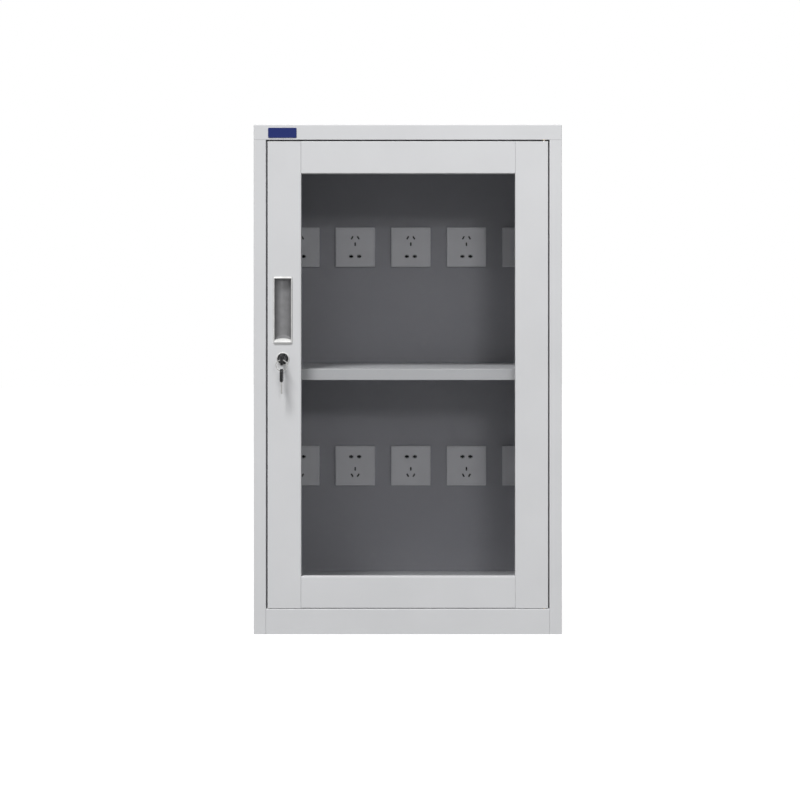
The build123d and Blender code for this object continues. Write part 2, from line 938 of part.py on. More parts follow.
with BuildPart() as lock_nut:
    with BuildSketch(facing(front + sheet)):
        with Locations((hardware_x, lock_center_z)):
            RegularPolygon(nut_across_flats / 2, 6, major_radius=False)
            RegularPolygon(
                lock_body_radius + hole_fit,
                nut_bore_sides,
                major_radius=False,
                mode=Mode.SUBTRACT,
            )
    extrude(amount=-nut_thickness)
save(lock_nut, "lock_nut")

plug_face = front - lock_face_thickness - plug_proud
with BuildPart() as lock_plug:
    with BuildSketch(facing(plug_face)):
        with Locations((hardware_x, lock_center_z)):
            Circle(plug_radius)
    extrude(amount=-(cam_front - plug_face))
    with BuildSketch(facing(cam_front)):
        with Locations((hardware_x, lock_center_z)):
            Rectangle(cam_square - fit, cam_square - fit)
    extrude(amount=-cam_thickness)
    with BuildSketch(facing(plug_face)):
        with Locations((hardware_x, lock_center_z)):
            Rectangle(keyway_width, keyway_height)
    extrude(amount=-keyway_depth, mode=Mode.SUBTRACT)
    with BuildSketch(facing(cam_front + cam_thickness)):
        with Locations((hardware_x, lock_center_z)):
            RegularPolygon(cam_screw_radius + hole_fit, cam_screw_sides)
    extrude(amount=cam_screw_length, mode=Mode.SUBTRACT)
save(lock_plug, "lock_plug")

with BuildPart() as lock_cam:
    with BuildSketch(facing(cam_front)):
        with Locations((hardware_x, lock_center_z)):
            SlotCenterPoint((0, -(cam_length - cam_width) / 2), (0, 0), cam_width)
            Rectangle(cam_square, cam_square, mode=Mode.SUBTRACT)
    extrude(amount=-cam_thickness)
save(lock_cam, "lock_cam")

with BuildPart() as cam_screw:
    with BuildSketch(facing(cam_front + cam_thickness)):
        with Locations((hardware_x, lock_center_z)):
            RegularPolygon(cam_screw_head_radius, 6)
    extrude(amount=-cam_screw_head)
    with BuildSketch(facing(cam_front + cam_thickness)):
        with Locations((hardware_x, lock_center_z)):
            RegularPolygon(cam_screw_radius, cam_screw_sides)
    extrude(amount=cam_screw_length)
save(cam_screw, "cam_screw")


# Keys
def key_blade(plane):
    """A key's blade; local x runs from the bow's hole towards the tip."""
    shoulder = bow_length - bow_hole_inset
    tip = shoulder + blade_length
    half = blade_height / 2
    with BuildPart() as blade:
        with BuildSketch(plane):
            with BuildLine():
                Polyline(
                    (shoulder - blade_tang, -half),
                    (tip - half / 2, -half),
                    (tip, -half / 2),
                    (tip, half / 3),
                    (tip - half / 2, half),
                    (tip - 2 * half / 2, half - blade_notch),
                    (tip - 3 * half / 2, half),
                    (tip - 4 * half / 2, half - blade_notch),
                    (tip - 5 * half / 2, half),
                    (tip - 6 * half / 2, half - blade_notch),
                    (tip - 7 * half / 2, half),
                    (shoulder - blade_tang, half),
                    close=True,
                )
            make_face()
        extrude(amount=blade_thickness / 2, both=True)
    return blade.part


def key_bow(plane):
    """A key's moulded bow about its hole, with the tang's pocket."""
    shoulder = bow_length - bow_hole_inset
    with BuildPart() as bow:
        with BuildSketch(plane) as outline:
            with Locations((bow_length / 2 - bow_hole_inset, 0)):
                Rectangle(bow_length, bow_width)
            for cut in corner_cuts:
                chamfer(outline.vertices(), cut)
            RegularPolygon(bow_hole_radius, bow_hole_sides, mode=Mode.SUBTRACT)
        extrude(amount=bow_thickness / 2, both=True)
        with BuildSketch(plane):
            with Locations((shoulder - blade_tang / 2, 0)):
                Rectangle(blade_tang, blade_height)
        extrude(amount=blade_thickness / 2, both=True, mode=Mode.SUBTRACT)
    return bow.part


bow_hole_y = plug_face - bow_standoff - bow_length + bow_hole_inset
ring_top_z = lock_center_z - ring_drop
ring_bottom_z = ring_top_z - 2 * ring_radius
key_plane = Plane(
    origin=(hardware_x, bow_hole_y, lock_center_z), x_dir=(0, 1, 0), z_dir=(1, 0, 0)
)
spare_plane = Plane(
    origin=(hardware_x, bow_hole_y, ring_bottom_z - ring_drop),
    x_dir=(0, 0, -1),
    z_dir=(1, 0, 0),
)

with BuildPart() as key_blade_piece:
    add(key_blade(key_plane))
save(key_blade_piece, "key_blade")

with BuildPart() as key_bow_piece:
    add(key_bow(key_plane))
save(key_bow_piece, "key_bow")

with BuildPart() as spare_key_blade:
    add(key_blade(spare_plane))
save(spare_key_blade, "spare_key_blade")

with BuildPart() as spare_key_bow:
    add(key_bow(spare_plane))
save(spare_key_bow, "spare_key_bow")

with BuildPart() as key_ring:
    with BuildSketch(facing(bow_hole_y + ring_wire / 2)):
        with Locations((hardware_x, ring_top_z - ring_radius)):
            RegularPolygon(ring_radius + ring_wire / 2, ring_sides)
            RegularPolygon(ring_radius - ring_wire / 2, ring_sides, mode=Mode.SUBTRACT)
    extrude(amount=ring_wire)
save(key_ring, "key_ring")
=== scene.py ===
import math

import bmesh
import bpy
from bpy.props import FloatProperty, FloatVectorProperty, IntProperty, PointerProperty
from mathutils import Matrix, Vector


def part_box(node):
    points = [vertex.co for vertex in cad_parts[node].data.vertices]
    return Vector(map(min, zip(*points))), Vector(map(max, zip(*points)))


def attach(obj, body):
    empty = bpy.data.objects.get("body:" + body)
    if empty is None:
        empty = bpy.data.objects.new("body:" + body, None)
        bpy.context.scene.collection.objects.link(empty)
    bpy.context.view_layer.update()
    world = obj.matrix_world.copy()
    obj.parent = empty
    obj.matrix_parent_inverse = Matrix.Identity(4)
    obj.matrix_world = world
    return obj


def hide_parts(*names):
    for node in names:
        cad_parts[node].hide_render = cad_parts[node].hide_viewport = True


bl_info = {
    "name": "Charging cabinet finish",
    "version": (1, 0, 0),
    "blender": (4, 5, 0),
    "location": "3D View > Sidebar > Cabinet",
    "description": (
        "Dresses the charging cabinet: paint, glass, sockets, lock, keys and stage"
    ),
    "category": "Object",
}

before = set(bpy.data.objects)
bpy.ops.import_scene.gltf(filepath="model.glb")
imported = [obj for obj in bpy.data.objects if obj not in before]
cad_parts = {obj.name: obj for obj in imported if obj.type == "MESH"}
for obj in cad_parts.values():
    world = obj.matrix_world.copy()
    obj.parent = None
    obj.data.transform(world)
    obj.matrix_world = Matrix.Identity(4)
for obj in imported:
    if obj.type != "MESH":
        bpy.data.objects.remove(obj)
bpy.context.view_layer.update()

PLATES = sorted(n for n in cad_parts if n.startswith("socket_plate_"))
MODULES = sorted(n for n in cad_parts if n.startswith("socket_module_"))
UPRIGHTS = sorted(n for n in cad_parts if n.startswith("upright_"))
PAINTED = (
    "side_panel_left",
    "side_panel_right",
    "top_cap",
    "base_tray",
    "rear_cover",
    "shelf",
    "door_stile_left",
    "door_stile_right",
    "door_rail_top",
    "door_rail_bottom",
)

# Pin entries of a socket: across and up from its middle, size, lean in degrees
PIN_ENTRIES = (
    (-0.0087, 0.02, (0.0094, 0.007), 0.0),
    (0.0087, 0.02, (0.0094, 0.007), 0.0),
    (0.0, -0.0065, (0.0034, 0.0082), 0.0),
    (-0.0067, -0.0205, (0.0034, 0.0082), 30.0),
    (0.0067, -0.0205, (0.0034, 0.0082), -30.0),
)
# Steps across a plate's surround and across the painted shade round a pin entry: width,
# height
SURROUND_FOLD = (0.0005, 0.0004)
SURROUND_TURN = (0.0004, -0.0006)
ENTRY_SHADE_STEPS = ((0.0007, 0.0), (0.0002, -0.002))
# Section of the pull's frame: in from its edge, out from the door's face
FRAME_SECTION = (
    (0.00015, 0.0013),
    (0.0006, 0.0024),
    (0.0011, 0.0031),
    (0.0016, 0.0033),
    (0.0021, 0.0028),
    (0.00248, 0.0018),
)
# Section of the lock's collar: out from the lock's edge, back from the door's face
COLLAR_SECTION = (
    (-0.0004, 0.0002),
    (0.0001, -0.0016),
    (0.0006, -0.002),
    (0.0012, -0.0018),
    (0.0018, -0.0012),
    (0.0022, -0.0004),
    (0.0023, 0.0002),
    (-0.0004, 0.0002),
)
# Section of the bead on the lock: shares of its half width, back from the lock's face
BEAD_SECTION = (
    (-1.0, 0.0002),
    (-1.0, -0.0001),
    (-0.6, -0.0004),
    (0.0, -0.0005),
    (0.6, -0.0004),
    (1.0, -0.0001),
    (1.0, 0.0002),
    (-1.0, 0.0002),
)
# Section of a domed screw: shares of its radius and of its height
SCREW_SECTION = (
    (0.02, 0.0),
    (0.94, 0.0),
    (1.0, 0.12),
    (0.97, 0.45),
    (0.8, 0.8),
    (0.5, 0.97),
    (0.3, 1.0),
    (0.22, 0.5),
    (0.02, 0.4),
)
# Lamps: place and size, in metres
TOP_LIGHT = ((-2.25, -5.22, 8.52), (2.5, 2.0))
FRONT_LIGHT = ((0.9, -4.8, 1.9), (0.75, 0.45))
SENSOR_WIDTH = 36.0
CAMERA_SHIFT = (-0.04625, -0.11875)  # centres the cabinet as the photograph does


def colour_property(label, text, default):
    """A colour that the user can change in the panel."""
    return FloatVectorProperty(
        name=label,
        description=text,
        default=default,
        subtype="COLOR",
        size=3,
        min=0.0,
        max=1.0,
    )


def length_property(label, text, default):
    """A length in metres that the user can change in the panel."""
    return FloatProperty(
        name=label,
        description=text,
        default=default,
        min=0.0,
        precision=5,
        subtype="DISTANCE",
        unit="LENGTH",
    )


class CabinetColours(bpy.types.PropertyGroup):
    """Colours of the cabinet's finishes."""

    paint: colour_property(
        "Cabinet paint",
        "Powder coat of the body, door and shelf",
        (0.655, 0.66, 0.672),
    )
    panel: colour_property(
        "Socket panel", "Powder coat of the inside back wall", (0.328, 0.328, 0.355)
    )
    uprights: colour_property(
        "Uprights", "Powder coat of the slotted uprights", (0.36, 0.365, 0.38)
    )
    socket: colour_property(
        "Socket plates", "Moulded front plates", (0.66, 0.66, 0.685)
    )
    contacts: colour_property(
        "Socket modules", "Moulded frames behind the plates", (0.02, 0.02, 0.022)
    )
    glass: colour_property("Glass", "Tint of the door's pane", (0.85, 0.852, 0.855))
    pull: colour_property("Recessed pull", "Satin cup of the pull", (0.2, 0.2, 0.205))
    trim: colour_property(
        "Door trim",
        "Satin frame of the pull and collar of the lock",
        (0.72, 0.72, 0.71),
    )
    # Near black: a painted dark reflection, standing in for what the plated face
    # mirrors
    lock: colour_property("Lock", "Plated face of the lock", (0.035, 0.035, 0.037))
    plug: colour_property("Lock plug", "Plated plug of the lock", (0.13, 0.13, 0.135))
    nickel: colour_property("Key steel", "Plated blades and ring", (0.42, 0.42, 0.41))
    bow: colour_property("Key bows", "Moulded bows of the keys", (0.012, 0.012, 0.013))
    badge: colour_property("Badge", "Plain plate on the cap", (0.008, 0.02, 0.14))
    rubber: colour_property("Rubber", "Tape, buffers, grommet", (0.03, 0.03, 0.032))


class CabinetSizes(bpy.types.PropertyGroup):
    """Sizes of the small pieces that are added to the cabinet."""

    badge_width: length_property("Badge width", "Width of the plain badge", 0.0555)
    badge_height: length_property("Badge height", "Height of the plain badge", 0.0195)
    badge_thickness: length_property("Badge thickness", "How far it stands out", 0.0012)
    badge_x: length_property("Badge place", "Badge from the cap's left end", 0.0282)
    badge_drop: length_property("Badge drop", "Badge below the cap's top", 0.0061)
    screw_radius: length_property("Cover screws", "Radius of a screw's head", 0.004)
    screw_height: length_property("Screw height", "Height of a screw's head", 0.0021)
    surround_width: length_property(
        "Surround width", "Width of the surround of a socket's plate", 0.003
    )
    tie_width: length_property("Tie width", "Width of a cable tie", 0.0036)
    tie_thickness: length_property("Tie thickness", "Thickness of a cable tie", 0.0011)
    ring_wire: length_property("Ring wire", "Thickness of the ring's wire", 0.0015)
    bow_round: length_property("Bow rounding", "Rounding of a key bow's edges", 0.0009)
    tie_count: IntProperty(
        name="Ties on a row",
        description="Cable ties along each row's loom",
        default=4,
        min=1,
        max=12,
    )


class CabinetStage(bpy.types.PropertyGroup):
    """Camera and light of the picture."""

    camera_distance: length_property(
        "Camera distance", "From the cabinet's front to the camera", 2.924
    )
    camera_x: length_property("Camera place", "Camera right of the middle", 0.057)
    camera_z: length_property("Camera height", "Camera above the floor", 0.641)
    focal_length: FloatProperty(
        name="Focal length",
        description="Lens of the camera",
        default=67.6,
        unit="CAMERA",
    )
    top_power: FloatProperty(
        name="Top light",
        description="Power of the light above",
        default=713.0,
        unit="POWER",
    )
    front_power: FloatProperty(
        name="Front light",
        description="Power of the low light",
        default=36.0,
        unit="POWER",
    )
    sky_level: FloatProperty(
        name="Sky light", description="Strength of the light from above", default=0.5
    )
    back_level: FloatProperty(
        name="Back light", description="Strength of the light from behind", default=0.9
    )


# Materials


def node_finish(name):
    """A new material with a bare Principled shader, and its node tree."""
    material = bpy.data.materials.new(name)
    material.use_nodes = True
    tree = material.node_tree
    shader = tree.nodes["Principled BSDF"]
    return material, tree, shader


def object_place(tree, scale=(1.0, 1.0, 1.0)):
    """Object coordinates, stretched by scale."""
    place = tree.nodes.new("ShaderNodeTexCoord")
    mapping = tree.nodes.new("ShaderNodeMapping")
    mapping.inputs["Scale"].default_value = scale
    tree.links.new(place.outputs["Object"], mapping.inputs["Vector"])
    return mapping.outputs["Vector"]


def noise(tree, place, scale, detail=2.0):
    """A noise value at that many waves to the metre."""
    node = tree.nodes.new("ShaderNodeTexNoise")
    node.inputs["Scale"].default_value = scale
    node.inputs["Detail"].default_value = detail
    tree.links.new(place, node.inputs["Vector"])
    return node.outputs["Fac"]


def spread(tree, value, low, high, start=0.3, end=0.7):
    """A value between start and end, spread out to low and high."""
    node = tree.nodes.new("ShaderNodeMapRange")
    for socket, number in (
        ("From Min", start),
        ("From Max", end),
        ("To Min", low),
        ("To Max", high),
    ):
        node.inputs[socket].default_value = number
    tree.links.new(value, node.inputs["Value"])
    return node.outputs["Result"]


def blend_colours(tree, factor, first, second):
    """One colour fading into another."""
    colour_a, colour_b, mixed = 6, 7, 2
    node = tree.nodes.new("ShaderNodeMix")
    node.data_type = "RGBA"
    tree.links.new(factor, node.inputs["Factor"])
    for index, colour in ((colour_a, first), (colour_b, second)):
        if isinstance(colour, bpy.types.NodeSocket):
            tree.links.new(colour, node.inputs[index])
        else:
            node.inputs[index].default_value = (*colour, 1.0)
    return node.outputs[mixed]


def shade(colour, amount):
    """A colour made lighter or darker."""
    return tuple(min(1.0, part * amount) for part in colour)


def bump(tree, shader, height, depth, strength=1.0):
    """Raise a surface by a height value."""
    node = tree.nodes.new("ShaderNodeBump")
    node.inputs["Distance"].default_value = depth
    node.inputs["Strength"].default_value = strength
    tree.links.new(height, node.inputs["Height"])
    tree.links.new(node.outputs["Normal"], shader.inputs["Normal"])


def edge_mask(tree, radius):
    """One along the sharp edges of a piece and nought elsewhere."""
    rounded = tree.nodes.new("ShaderNodeBevel")
    rounded.samples = 4
    rounded.inputs["Radius"].default_value = radius
    surface = tree.nodes.new("ShaderNodeNewGeometry")
    alike = tree.nodes.new("ShaderNodeVectorMath")
    alike.operation = "DOT_PRODUCT"
    tree.links.new(rounded.outputs["Normal"], alike.inputs[0])
    tree.links.new(surface.outputs["Normal"], alike.inputs[1])
    sharp, flat = 0.75, 0.98
    return spread(tree, alike.outputs["Value"], 1.0, 0.0, sharp, flat)


def powder_coat(name, colour, roughness=0.42, unevenness=0.025, edges=0.9):
    """Baked powder coat: fine orange peel, faint clouds and thin coat on the edges."""
    cloud_waves, speck_waves, peel_waves = 7.0, 2600.0, 700.0
    edge_width, peel_depth = 0.0006, 0.00004
    material, tree, shader = node_finish(name)
    place = object_place(tree)
    clouds = spread(tree, noise(tree, place, cloud_waves, 3.0), 0.0, 1.0)
    coat = blend_colours(
        tree, clouds, shade(colour, 1 - unevenness), shade(colour, 1 + unevenness)
    )
    specks = spread(tree, noise(tree, place, speck_waves, 1.0), 0.0, 0.5, 0.62, 0.78)
    coat = blend_colours(tree, specks, coat, shade(colour, 0.8))
    coat = blend_colours(tree, edge_mask(tree, edge_width), coat, shade(colour, edges))
    tree.links.new(coat, shader.inputs["Base Color"])
    peel = noise(tree, place, peel_waves, 2.0)
    tree.links.new(
        spread(tree, peel, roughness - 0.05, roughness + 0.07),
        shader.inputs["Roughness"],
    )
    bump(tree, shader, peel, peel_depth, 0.6)
    return material


def moulded_plastic(name, colour, roughness=0.35, grain=1500.0, shine=0.5):
    """Moulded plastic with a fine spark texture and slight mottling."""
    cloud_waves, edge_width, spark_depth = 22.0, 0.0005, 0.00002
    material, tree, shader = node_finish(name)
    shader.inputs["Specular IOR Level"].default_value = shine
    place = object_place(tree)
    clouds = spread(tree, noise(tree, place, cloud_waves, 2.0), 0.0, 1.0)
    tone = blend_colours(tree, clouds, shade(colour, 0.96), shade(colour, 1.03))
    worn = blend_colours(tree, edge_mask(tree, edge_width), tone, shade(colour, 1.12))
    tree.links.new(worn, shader.inputs["Base Color"])
    texture = noise(tree, place, grain, 2.0)
    tree.links.new(
        spread(tree, texture, roughness - 0.05, roughness + 0.08),
        shader.inputs["Roughness"],
    )
    bump(tree, shader, texture, spark_depth, 0.5)
    return material


def plated_metal(name, colour, roughness=0.25, stretch=(1.0, 1.0, 1.0), metal=1.0):
    """Plated or turned metal: fine lines, soft stains and brighter edges."""
    stain_waves, line_waves = 90.0, 1400.0
    edge_width, line_depth = 0.0004, 0.00001
    material, tree, shader = node_finish(name)
    shader.inputs["Metallic"].default_value = metal
    place = object_place(tree)
    lined = object_place(tree, stretch)
    stains = spread(tree, noise(tree, place, stain_waves, 3.0), 0.0, 1.0, 0.35, 0.7)
    tone = blend_colours(tree, stains, colour, shade(colour, 0.85))
    worn = blend_colours(tree, edge_mask(tree, edge_width), tone, shade(colour, 1.2))
    tree.links.new(worn, shader.inputs["Base Color"])
    lines = noise(tree, lined, line_waves, 2.0)
    tree.links.new(
        spread(tree, lines, roughness - 0.06, roughness + 0.1),
        shader.inputs["Roughness"],
    )
    bump(tree, shader, lines, line_depth, 0.4)
    return material


def clear_pane(name, colour):
    """Window glass that lets the lamps shine through it and mirrors little."""
    weak_mirror = 1.1
    material, tree, shader = node_finish(name)
    shader.inputs["Base Color"].default_value = (*colour, 1.0)
    shader.inputs["Transmission Weight"].default_value = 1.0
    shader.inputs["Roughness"].default_value = 0.0
    shader.inputs["IOR"].default_value = weak_mirror
    through = tree.nodes.new("ShaderNodeBsdfTransparent")
    through.inputs["Color"].default_value = (*colour, 1.0)
    rays = tree.nodes.new("ShaderNodeLightPath")
    unbent = tree.nodes.new("ShaderNodeMath")
    unbent.operation = "MAXIMUM"
    tree.links.new(rays.outputs["Is Shadow Ray"], unbent.inputs[0])
    tree.links.new(rays.outputs["Is Diffuse Ray"], unbent.inputs[1])
    mix = tree.nodes.new("ShaderNodeMixShader")
    tree.links.new(unbent.outputs[0], mix.inputs[0])
    tree.links.new(shader.outputs[0], mix.inputs[1])
    tree.links.new(through.outputs[0], mix.inputs[2])
    tree.links.new(mix.outputs[0], tree.nodes["Material Output"].inputs["Surface"])
    return material


def dress(names, material):
    """Give CAD nodes a finish."""
    for name in names:
        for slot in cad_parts[name].material_slots:
            slot.material = material


# Modelling helpers


def finished_piece(name, shape, material, body, smooth=True):
    """Turn a bmesh into a piece that rides on a body of the cabinet."""
    mesh = bpy.data.meshes.new(name)
    for face in shape.faces:
        face.smooth = smooth
    shape.to_mesh(mesh)
    shape.free()
    piece = bpy.data.objects.new(name, mesh)
    bpy.context.scene.collection.objects.link(piece)
    mesh.materials.append(material)
    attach(piece, body)
    return piece


def copied_shape(node):
    """A merged copy of a CAD node's mesh with its flat faces whole again."""
    shape = bmesh.new()
    shape.from_mesh(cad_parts[node].data)
    bmesh.ops.remove_doubles(shape, verts=shape.verts, dist=1e-6)
    bmesh.ops.dissolve_limit(
        shape, angle_limit=math.radians(1.0), verts=shape.verts, edges=shape.edges
    )
    return shape


def sharp_edges(shape, least=50.0):
    """Edges where two faces meet at more than that angle."""
    limit = math.radians(least)
    return [e for e in shape.edges if e.is_manifold and e.calc_face_angle() > limit]


def round_edges(shape, edges, radius, segments=3):
    """Bevel edges with round corners."""
    return bmesh.ops.bevel(
        shape,
        geom=edges,
        offset=radius,
        offset_type="OFFSET",
        segments=segments,
        profile=0.5,
        affect="EDGES",
        clamp_overlap=True,
        material=-1,
    )


def turned(shape, profile, centre, axis, steps=32):
    """Spin a profile of (radius, height) points about an axis through centre."""
    axis = Vector(axis).normalized()
    side = axis.orthogonal().normalized()
    verts = [
        shape.verts.new(Vector(centre) + side * radius + axis * height)
        for radius, height in profile
    ]
    edges = [shape.edges.new(pair) for pair in zip(verts, verts[1:])]
    bmesh.ops.spin(
        shape,
        geom=verts + edges,
        cent=centre,
        axis=axis,
        dvec=(0, 0, 0),
        angle=2 * math.pi,
        steps=steps,
        use_merge=True,
    )


def close_up(shape):
    """Merge doubles and turn all faces outwards."""
    bmesh.ops.remove_doubles(shape, verts=shape.verts, dist=1e-7)
    bmesh.ops.recalc_face_normals(shape, faces=shape.faces)


def add_part(shape, part):
    """Put a small bmesh into a larger one, and free it."""
    mesh = bpy.data.meshes.new("part")
    part.to_mesh(mesh)
    part.free()
    shape.from_mesh(mesh)
    bpy.data.meshes.remove(mesh)


def rounded_block(size, centre, radius, segments):
    """A block whose four edges that run front to back are rounded."""
    shape = bmesh.new()
    bmesh.ops.create_cube(shape, size=1.0)
    bmesh.ops.scale(shape, vec=size, verts=shape.verts)
    bmesh.ops.translate(shape, vec=centre, verts=shape.verts)
    corners = [e for e in shape.edges if abs((e.verts[0].co - e.verts[1].co).y) > 1e-5]
    round_edges(shape, corners, radius, segments)
    return shape


def upright_panel(shape, middle, size, front, lean=0.0):
    """One upright flat face that looks forwards, turned in its plane by lean."""
    verts = bmesh.ops.create_grid(shape, x_segments=1, y_segments=1, size=0.5)["verts"]
    bmesh.ops.scale(shape, vec=(size[0], size[1], 1.0), verts=verts)
    turn = Matrix.Rotation(math.radians(lean), 3, "Z")
    upright = Matrix.Rotation(math.radians(90.0), 3, "X")
    bmesh.ops.rotate(shape, cent=(0, 0, 0), matrix=upright @ turn, verts=verts)
    bmesh.ops.translate(shape, vec=(middle.x, front, middle.z), verts=verts)
    return verts


def round_corners(shape, verts, radius, segments=3):
    """Round the corners of flat faces."""
    bmesh.ops.bevel(
        shape,
        geom=verts,
        offset=radius,
        offset_type="OFFSET",
        segments=segments,
        profile=0.5,
        affect="VERTICES",
        material=-1,
    )


def sink_field(shape, faces, border, slope, sunk):
    """Sink the middle of flat faces behind a border."""
    for thickness, depth in ((border, 0.0), (slope, -sunk)):
        bmesh.ops.inset_region(
            shape,
            faces=faces,
            thickness=thickness,
            depth=depth,
            use_even_offset=True,
        )


def stretch_upright(verts, low, high):
    """Move points so that together they reach from low to high."""
    lowest = min(v.co.z for v in verts)
    highest = max(v.co.z for v in verts)
    for vert in verts:
        share = (vert.co.z - lowest) / (highest - lowest)
        vert.co.z = low + share * (high - low)


def of_type(geometry, kind):
    """The items of one kind in what a bmesh operator returned."""
    return [item for item in geometry if isinstance(item, kind)]


class CabinetOperator(bpy.types.Operator):
    """Base of the cabinet's operators."""

    bl_options = {"REGISTER", "UNDO"}

    @staticmethod
    def settings(context):
        """Colours, sizes and stage settings of the scene."""
        scene = context.scene
        return scene.cabinet_colours, scene.cabinet_sizes, scene.cabinet_stage


class CABINET_OT_paintwork(CabinetOperator):
    """Paint the body, the door, the shelf and the inside"""

    bl_idname = "cabinet.paintwork"
    bl_label = "Paintwork"

    def execute(self, context):
        colours, _, _ = self.settings(context)
        dress(PAINTED, powder_coat("cabinet_paint", tuple(colours.paint)))
        dress(["socket_panel"], powder_coat("panel_paint", tuple(colours.panel), 0.5))
        dress(UPRIGHTS, powder_coat("upright_paint", tuple(colours.uprights), 0.5))
        dress(["shelf_clips"], plated_metal("clip_zinc", (0.6, 0.6, 0.58), 0.38))
        return {"FINISHED"}


class CABINET_OT_sockets(CabinetOperator):
    """Finish the socket plates and the modules behind them"""

    bl_idname = "cabinet.sockets"
    bl_label = "Sockets"

    def execute(self, context):
        colours, sizes, _ = self.settings(context)
        plastic = moulded_plastic("socket_plate_plastic", tuple(colours.socket))
        dress(PLATES, plastic)
        contacts = tuple(colours.contacts)
        # The modules' own dark plastic, which also paints shade round and inside the
        # pin entries
        dark = moulded_plastic("socket_module_plastic_and_entry_shade", contacts, shine=0.2)
        dress(MODULES, dark)
        self.surrounds(plastic, sizes.surround_width)
        self.entry_painted_shade(dark)
        return {"FINISHED"}

    def surrounds(self, material, width):
        """A square surround clipped over the edge of each plate."""
        play, proud, corner = 0.0004, 0.0002, 0.0012
        shape = bmesh.new()
        for name in PLATES:
            low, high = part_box(name)
            size = high.x - low.x - play
            front = low.y - proud
            upright_panel(shape, (low + high) / 2, (size, size), front)
        round_corners(shape, shape.verts[:], corner)
        faces = shape.faces[:]
        rim = [e for e in shape.edges if e.is_boundary]
        wall = bmesh.ops.extrude_edge_only(shape, edges=rim)["geom"]
        verts = of_type(wall, bmesh.types.BMVert)
        bmesh.ops.translate(shape, vec=(0.0, high.y - front, 0.0), verts=verts)
        self.inset_steps(shape, faces, (SURROUND_FOLD, (width, 0.0001), SURROUND_TURN))
        bmesh.ops.recalc_face_normals(shape, faces=shape.faces)
        finished_piece(
            "plate_surrounds", shape, material, "carcass", False
        )

    def entry_painted_shade(self, material):
        """Painted shade: a dark rim round and inside each pin entry, the upper row's
        upside down.
        """
        proud, corner_share, wall = 0.00015, 0.42, 0.0001
        shape = bmesh.new()
        flat = []
        for name in PLATES:
            low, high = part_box(name)
            turn = -1 if "upper" in name else 1
            middle = (low + high) / 2
            for across, rise, size, lean in PIN_ENTRIES:
                place = middle + Vector((turn * across, 0.0, turn * rise))
                verts = upright_panel(shape, place, size, low.y - proud, lean)
                flat.append((verts, min(size) * corner_share))
        for verts, corner in flat:
            round_corners(shape, verts, corner)
        self.inset_steps(shape, shape.faces[:], ENTRY_SHADE_STEPS)
        bmesh.ops.solidify(shape, geom=shape.faces[:], thickness=wall)
        finished_piece(
            "entry_painted_shade", shape, material, "carcass", False
        )

    def inset_steps(self, shape, faces, steps):
        """Inset each face step by step, and open what is left of it."""
        for thickness, depth in steps:
            bmesh.ops.inset_individual(
                shape,
                faces=faces,
                thickness=thickness,
                depth=depth,
                use_even_offset=True,
            )
        bmesh.ops.delete(shape, geom=faces, context="FACES")


class CABINET_OT_glazing(CabinetOperator):
    """Finish the pane, its tape and its beads"""

    bl_idname = "cabinet.glazing"
    bl_label = "Glazing"

    def execute(self, context):
        colours, _, _ = self.settings(context)
        dress(["door_glass"], clear_pane("window_glass", tuple(colours.glass)))
        rubber = moulded_plastic("black_rubber", tuple(colours.rubber), 0.7, 900.0)
        dress(["glazing_tape", "door_buffers", "cable_grommet"], rubber)
        mill = plated_metal("bead_aluminium", (0.58, 0.58, 0.6), 0.4, (1, 1, 0.02))
        dress(["glazing_beads"], mill)
        return {"FINISHED"}


